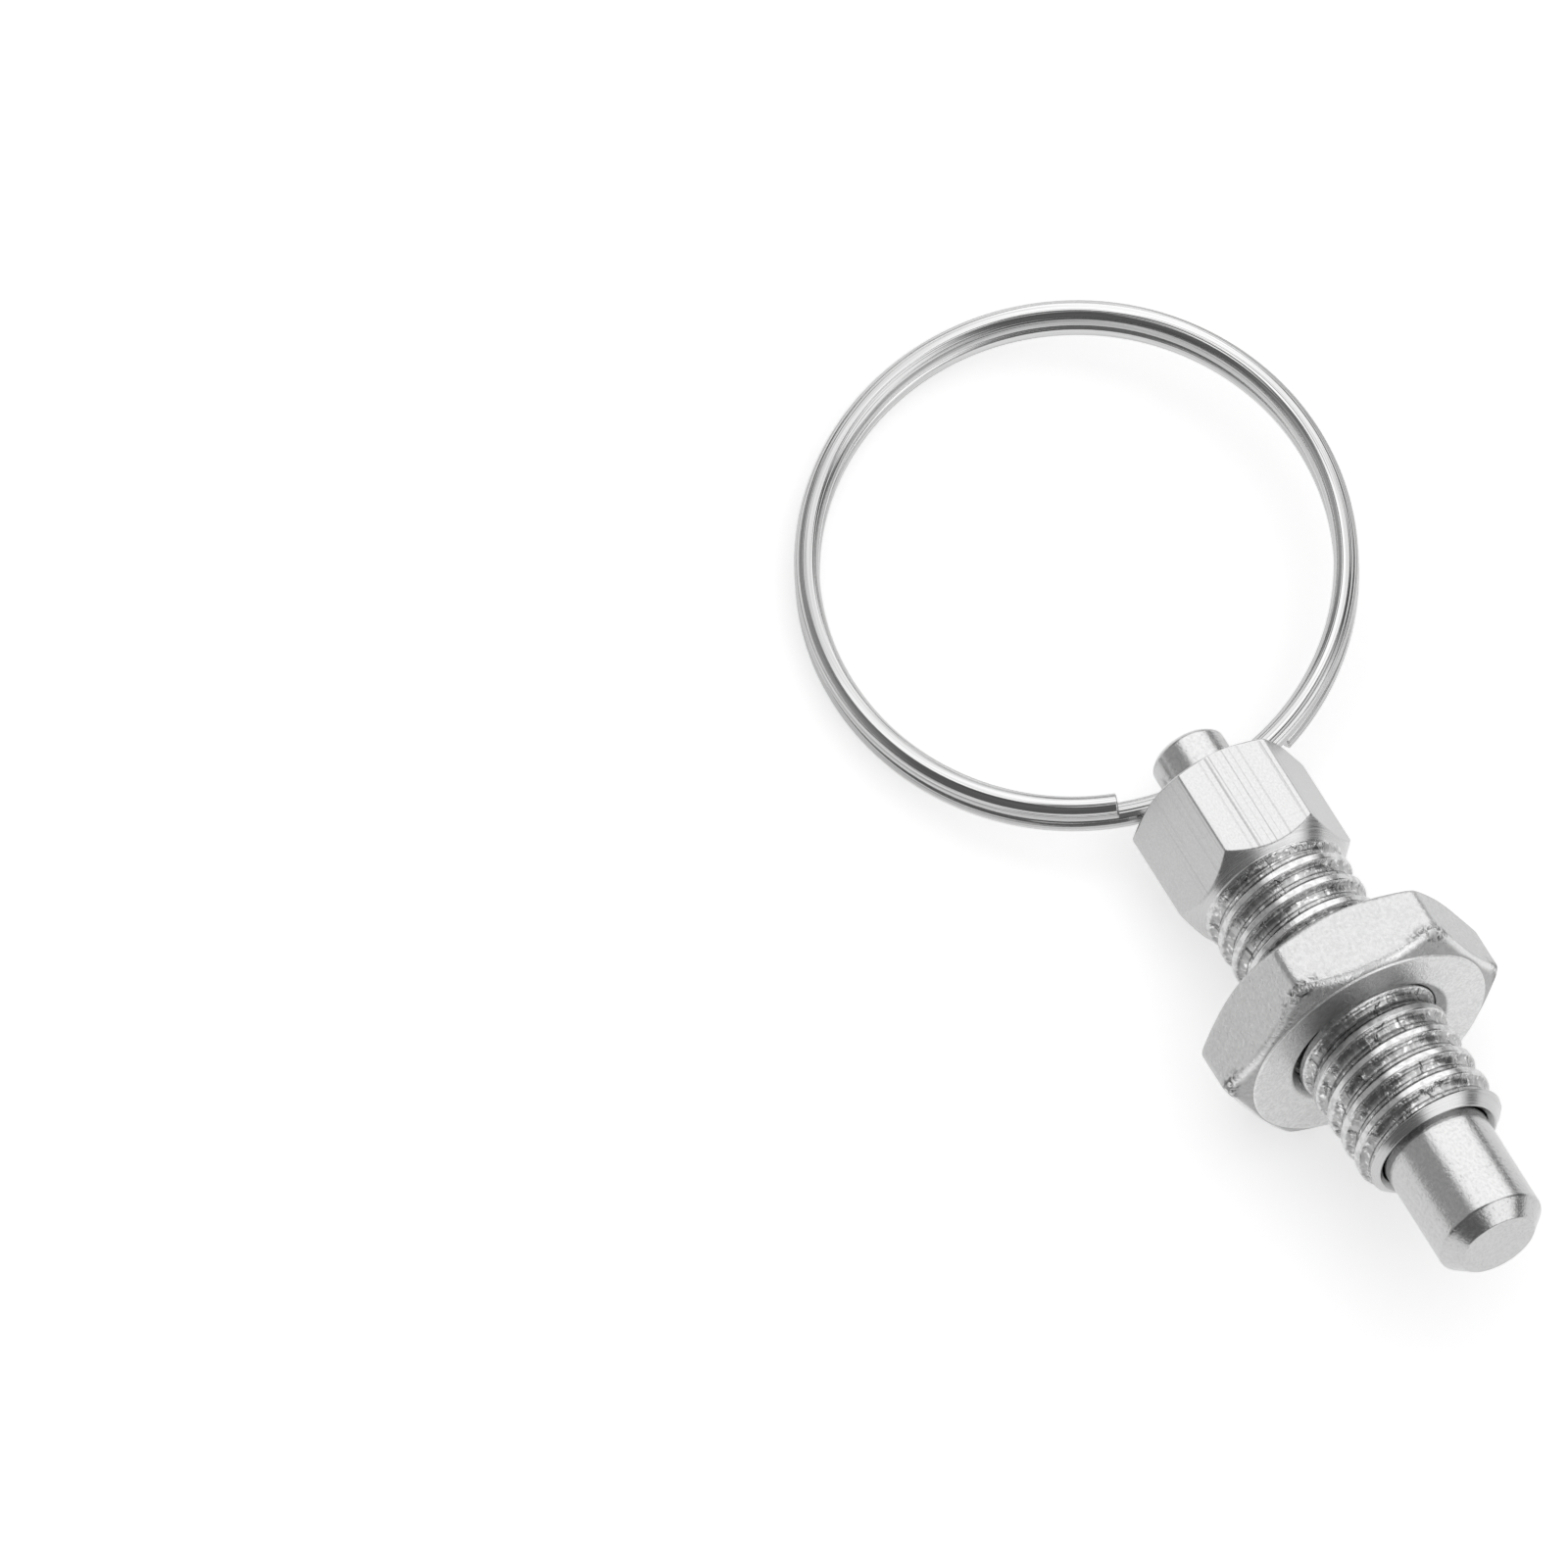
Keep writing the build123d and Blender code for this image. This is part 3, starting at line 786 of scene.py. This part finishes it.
def make_nut_mesh(nut):
    """Thin nut with soft chamfered corners and a countersunk bore."""
    tumbled, faced = 0, 1
    bore_radius = nut.bore / 2
    face_radius = nut.face_diameter / 2
    lead_radius = bore_radius + nut.countersink
    step = nut.face_step
    narrowest_chamfer = 0.05 * MM

    def outline(turn):
        flat = hexagon_radius(turn, nut.across_flats, nut.corner_rounding)
        drop = (flat - face_radius) * CHAMFER_SLOPE
        rim = max(flat - nut.rolled_rim, face_radius + narrowest_chamfer)
        rim_height = step + (rim - face_radius) * CHAMFER_SLOPE
        return rounded([
            Corner(lead_radius, 0, 0.12 * MM, faced),
            Corner(face_radius - step, 0, 0.03 * MM, faced),
            Corner(face_radius, step, 0.03 * MM, tumbled),
            Corner(rim, rim_height, 0.2 * MM, tumbled),
            Corner(flat, rim_height + nut.rolled_rim, 0.2 * MM, tumbled),
            Corner(flat, nut.thickness - drop, 0.25 * MM, tumbled),
            Corner(face_radius, nut.thickness, 0.12 * MM, faced),
            Corner(lead_radius, nut.thickness, 0.12 * MM, faced),
            Corner(bore_radius, nut.thickness - nut.countersink, 0.08 * MM, faced),
            Corner(bore_radius, nut.countersink, 0.08 * MM, faced),
        ], closed=True)

    mesh = revolved_mesh("lock_nut_piece", hexagon_turns(), outline, closed=True)
    mesh.transform(Matrix.Translation((0, 0, NUT_FACE)))
    return mesh


def ring_placement(ring, radius, pitch, turn):
    """Where the ring hangs, with the middle of its wire in the cross hole."""
    outward = Vector((0, math.sin(RING_SWING), -math.cos(RING_SWING)))
    up = Vector((0, math.cos(RING_SWING), math.sin(RING_SWING)))
    hung = Matrix((outward, up.cross(outward), up)).transposed().to_4x4()
    to_hole = Matrix.Translation((-radius, 0, -turn * pitch)) @ Matrix.Rotation(ring.end_angle, 4, "Z")
    turned = Matrix.Rotation(PIN_TURN, 4, "Z")
    return UPRIGHT @ Matrix.Translation((0, 0, HOLE_CENTRE)) @ turned @ hung @ to_hole


class PLUNGER_OT_housing(bpy.types.Operator):
    """Build the threaded body with its hexagon head"""
    bl_idname = "plunger.housing"
    bl_label = "Housing"

    def execute(self, context):
        housing = context.scene.plunger_housing
        finish = context.scene.plunger_finish
        mesh = make_housing_mesh(housing)
        set_grain(mesh)
        place(mesh, UPRIGHT, "housing", "housing", [
            turned_steel(finish), cut_thread(finish, housing.thread_diameter / 2), drawn_steel(finish)])
        return {"FINISHED"}


class PLUNGER_OT_pin(bpy.types.Operator):
    """Build the index pin and its drilled shaft"""
    bl_idname = "plunger.pin"
    bl_label = "Pin"

    def execute(self, context):
        mesh = make_pin_mesh(context.scene.plunger_pin)
        set_grain(mesh)
        place(mesh, UPRIGHT, "pin", "plunger_pin", [ground_steel(context.scene.plunger_finish)])
        return {"FINISHED"}


class PLUNGER_OT_lock_nut(bpy.types.Operator):
    """Build the lock nut"""
    bl_idname = "plunger.lock_nut"
    bl_label = "Lock Nut"

    def execute(self, context):
        nut = context.scene.plunger_nut
        mesh = make_nut_mesh(nut)
        set_grain(mesh)
        finish = context.scene.plunger_finish
        corner_radius = nut.across_flats / 2 / math.cos(math.pi / 6)
        place(mesh, UPRIGHT, "nut", "lock_nut", [
            nut_steel(finish, nut, corner_radius), faced_steel(finish)])
        return {"FINISHED"}


class PLUNGER_OT_pull_ring(bpy.types.Operator):
    """Build the split pull ring through the pin's cross hole"""
    bl_idname = "plunger.pull_ring"
    bl_label = "Pull Ring"

    def execute(self, context):
        ring = context.scene.plunger_ring
        radius = ring.mean_diameter / 2
        pitch = ring.wire + ring.turn_gap
        turn = 1 - ring.end_angle / (2 * math.pi)
        mesh = coil_mesh(
            "pull_ring_piece", radius, ring.wire, 2 * turn, RING_STEPS, lambda u: 2 * turn * pitch * u)
        place(mesh, ring_placement(ring, radius, pitch, turn), "ring", "pull_ring",
              [polished_wire(context.scene.plunger_finish)])
        return {"FINISHED"}


class PLUNGER_OT_spring(bpy.types.Operator):
    """Build the return spring"""
    bl_idname = "plunger.spring"
    bl_label = "Return Spring"

    def execute(self, context):
        spring = context.scene.plunger_spring
        pin = context.scene.plunger_pin
        radius = context.scene.plunger_housing.bore / 2 - spring.play - spring.wire / 2
        bottom = pin.bearing + spring.seat_gap + spring.wire / 2
        height = CHAMBER_END - spring.seat_gap - spring.wire / 2 - bottom
        closed_pitch = spring.wire + 0.03 * MM
        samples = SAMPLES_PER_COIL * spring.coils
        opening_coils = 0.25

        def share_open(u):
            from_end = min(u, 1 - u) * spring.coils
            return min(max((from_end - 1) / opening_coils, 0), 1)

        open_turns = sum(share_open((i + 0.5) / samples) for i in range(samples)) * spring.coils / samples
        open_pitch = (height - closed_pitch * (spring.coils - open_turns)) / open_turns
        heights = [0.0]
        for i in range(samples):
            pitch = closed_pitch + (open_pitch - closed_pitch) * share_open((i + 0.5) / samples)
            heights.append(heights[-1] + pitch * spring.coils / samples)

        def height_at(u):
            step = min(max(u, 0), 1) * samples
            low = min(int(step), samples - 1)
            return heights[low] + (heights[low + 1] - heights[low]) * (step - low)

        mesh = coil_mesh("return_spring_piece", radius, spring.wire, spring.coils,
                         STEPS_PER_COIL * spring.coils, height_at)
        mesh.transform(Matrix.Translation((0, 0, bottom)))
        piece = place(mesh, UPRIGHT, "spring", "return_spring",
                      [spring_steel(context.scene.plunger_finish)])
        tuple(JOINTS["pin_spin"]["pos_m"])
        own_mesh(piece)
        return {"FINISHED"}


class PLUNGER_OT_stage(bpy.types.Operator):
    """Set the floor, the studio light and the camera"""
    bl_idname = "plunger.stage"
    bl_label = "Stage"

    def execute(self, context):
        stage = context.scene.plunger_stage
        make_floor(stage.floor_width, context.scene.plunger_finish.paper)
        make_world()
        make_softbox("overhead_softbox", (0.05, -0.05, 0.9), 1.2, 4.3)
        make_softbox("side_softbox", (-0.6, 0.9, 0.6), 0.5, 0.8)
        make_camera(stage)
        context.scene.view_settings.view_transform = "Standard"
        return {"FINISHED"}


def mirrored_rays(tree, path):
    """1 for the rays that metal or glass sends on, and 0 for the others."""
    return add_node(tree, "Math", {
        0: path.outputs["Is Glossy Ray"], 1: path.outputs["Is Transmission Ray"]}, operation="MAXIMUM")


def make_floor(width, paper):
    """Pale paper floor: lit for its shadow, and lifted towards white for eyes and for reflections."""
    made = bmesh.new()
    bmesh.ops.create_grid(made, x_segments=1, y_segments=1, size=width / 2)
    mesh = bpy.data.meshes.new("floor")
    made.to_mesh(mesh)
    made.free()
    material = bpy.data.materials.new("matt_paper")
    material.use_nodes = True
    tree = material.node_tree
    tree.nodes.clear()
    paper_lift = 0.5
    sheet = add_node(tree, "BsdfDiffuse", {"Color": paper, "Roughness": 0.0})
    path = add_node(tree, "LightPath")
    seen = add_node(tree, "Math", {
        0: path.outputs["Is Camera Ray"], 1: mirrored_rays(tree, path)}, operation="MAXIMUM")
    lift = add_node(tree, "Math", {0: seen, 1: paper_lift}, operation="MULTIPLY")
    glow = add_node(tree, "Emission", {"Color": (1, 1, 1, 1), "Strength": lift})
    both = add_node(tree, "AddShader", {0: sheet, 1: glow})
    add_node(tree, "OutputMaterial", {"Surface": both})
    mesh.materials.append(material)
    floor = bpy.data.objects.new("floor", mesh)
    bpy.context.scene.collection.objects.link(floor)


def make_world():
    """White background to the eye; metal sees two softboxes and a grey card in a dim studio."""
    world = bpy.data.worlds.new("studio")
    bpy.context.scene.world = world
    world.use_nodes = True
    tree = world.node_tree
    tree.nodes.clear()
    path = add_node(tree, "LightPath")
    direction = add_node(tree, "TexCoord")
    dim_studio, studio_strength, ambient_strength = 0.11, 1.5, 0.4
    # Each softbox or card: where it is, its edge's inner and outer cosine, and how bright it looks
    softboxes = (
        ((0.58, -0.35, 0.735), 0.83, 0.67, 1.0),
        ((-0.70, -0.42, 0.58), 0.95, 0.84, 0.95),
        ((0.50, 0.78, 0.37), 0.97, 0.80, 0.2),
    )
    level = dim_studio
    for towards, inner, outer, brightness in softboxes:
        cosine = add_node(tree, "VectorMath", {
            0: direction.outputs["Generated"], 1: Vector(towards).normalized()}, operation="DOT_PRODUCT")
        share = add_node(tree, "MapRange", {
            "Value": cosine, "From Min": outer, "From Max": inner, "To Max": brightness},
            interpolation_type="SMOOTHSTEP")
        level = add_node(tree, "Math", {0: share, 1: level}, operation="ADD")
    ambient = add_node(tree, "Background", {"Color": (0.8, 0.8, 0.8, 1), "Strength": ambient_strength})
    reflected = add_node(tree, "Background", {"Color": level, "Strength": studio_strength})
    white = add_node(tree, "Background", {"Color": (1, 1, 1, 1), "Strength": 1.0})
    lit = add_node(tree, "MixShader", {0: mirrored_rays(tree, path), 1: ambient, 2: reflected})
    seen = add_node(tree, "MixShader", {0: path.outputs["Is Camera Ray"], 1: lit, 2: white})
    add_node(tree, "OutputWorld", {"Surface": seen})


def make_softbox(name, position, width, power):
    """Square soft light aimed at the object."""
    data = bpy.data.lights.new(name, "AREA")
    data.shape = "SQUARE"
    data.size = width
    data.energy = power
    lamp = bpy.data.objects.new(name, data)
    lamp.location = position
    lamp.rotation_euler = (-Vector(position)).to_track_quat("-Z", "Y").to_euler()
    lamp.visible_glossy = False
    bpy.context.scene.collection.objects.link(lamp)


def make_camera(stage):
    """Long-lens camera at the photograph's viewing angle, with the object right of the middle."""
    azimuth, elevation, roll = stage.azimuth, stage.elevation, stage.roll
    back = Vector((
        math.sin(azimuth) * math.cos(elevation),
        -math.cos(azimuth) * math.cos(elevation),
        math.sin(elevation),
    ))
    level = Vector((math.cos(azimuth), math.sin(azimuth), 0))
    right = level * math.cos(roll) + back.cross(level) * math.sin(roll)
    up = back.cross(right)
    aim = UPRIGHT.translation + stage.aim
    data = bpy.data.cameras.new("camera")
    data.lens = data.sensor_width * stage.distance / stage.picture_width
    data.clip_start = stage.distance / 10
    data.clip_end = stage.distance * 10
    camera = bpy.data.objects.new("camera", data)
    turn = Matrix((right, up, back)).transposed().to_4x4()
    camera.matrix_world = Matrix.Translation(aim + back * stage.distance) @ turn
    bpy.context.scene.collection.objects.link(camera)
    bpy.context.scene.camera = camera


class PLUNGER_PT_panel(bpy.types.Panel):
    """Lists the plunger's pieces and its stage"""
    bl_idname = "PLUNGER_PT_panel"
    bl_label = "Indexing Plunger"
    bl_space_type = "VIEW_3D"
    bl_region_type = "UI"
    bl_category = "Plunger"

    def draw(self, context):
        for operator in OPERATORS:
            self.layout.operator(operator.bl_idname)
        for name in SETTINGS:
            group = getattr(context.scene, name)
            box = self.layout.box()
            box.label(text=group.bl_rna.description)
            for setting in group.bl_rna.properties:
                if setting.identifier not in ("rna_type", "name"):
                    box.prop(group, setting.identifier)


SETTINGS = {
    "plunger_housing": HousingSettings,
    "plunger_pin": PinSettings,
    "plunger_nut": NutSettings,
    "plunger_ring": RingSettings,
    "plunger_spring": SpringSettings,
    "plunger_finish": FinishSettings,
    "plunger_stage": StageSettings,
}
OPERATORS = (
    PLUNGER_OT_housing,
    PLUNGER_OT_pin,
    PLUNGER_OT_lock_nut,
    PLUNGER_OT_pull_ring,
    PLUNGER_OT_spring,
    PLUNGER_OT_stage,
)


def register():
    for group in SETTINGS.values():
        bpy.utils.register_class(group)
    for name, group in SETTINGS.items():
        setattr(bpy.types.Scene, name, bpy.props.PointerProperty(type=group))
    for operator in OPERATORS:
        bpy.utils.register_class(operator)
    bpy.utils.register_class(PLUNGER_PT_panel)


def unregister():
    bpy.utils.unregister_class(PLUNGER_PT_panel)
    for operator in reversed(OPERATORS):
        bpy.utils.unregister_class(operator)
    for name in SETTINGS:
        delattr(bpy.types.Scene, name)
    for group in reversed(list(SETTINGS.values())):
        bpy.utils.unregister_class(group)


def main():
    """Builds the whole scene."""
    register()
    bpy.ops.plunger.housing()
    bpy.ops.plunger.pin()
    bpy.ops.plunger.lock_nut()
    bpy.ops.plunger.pull_ring()
    bpy.ops.plunger.spring()
    bpy.ops.plunger.stage()


if __name__ == "__main__":
    main()
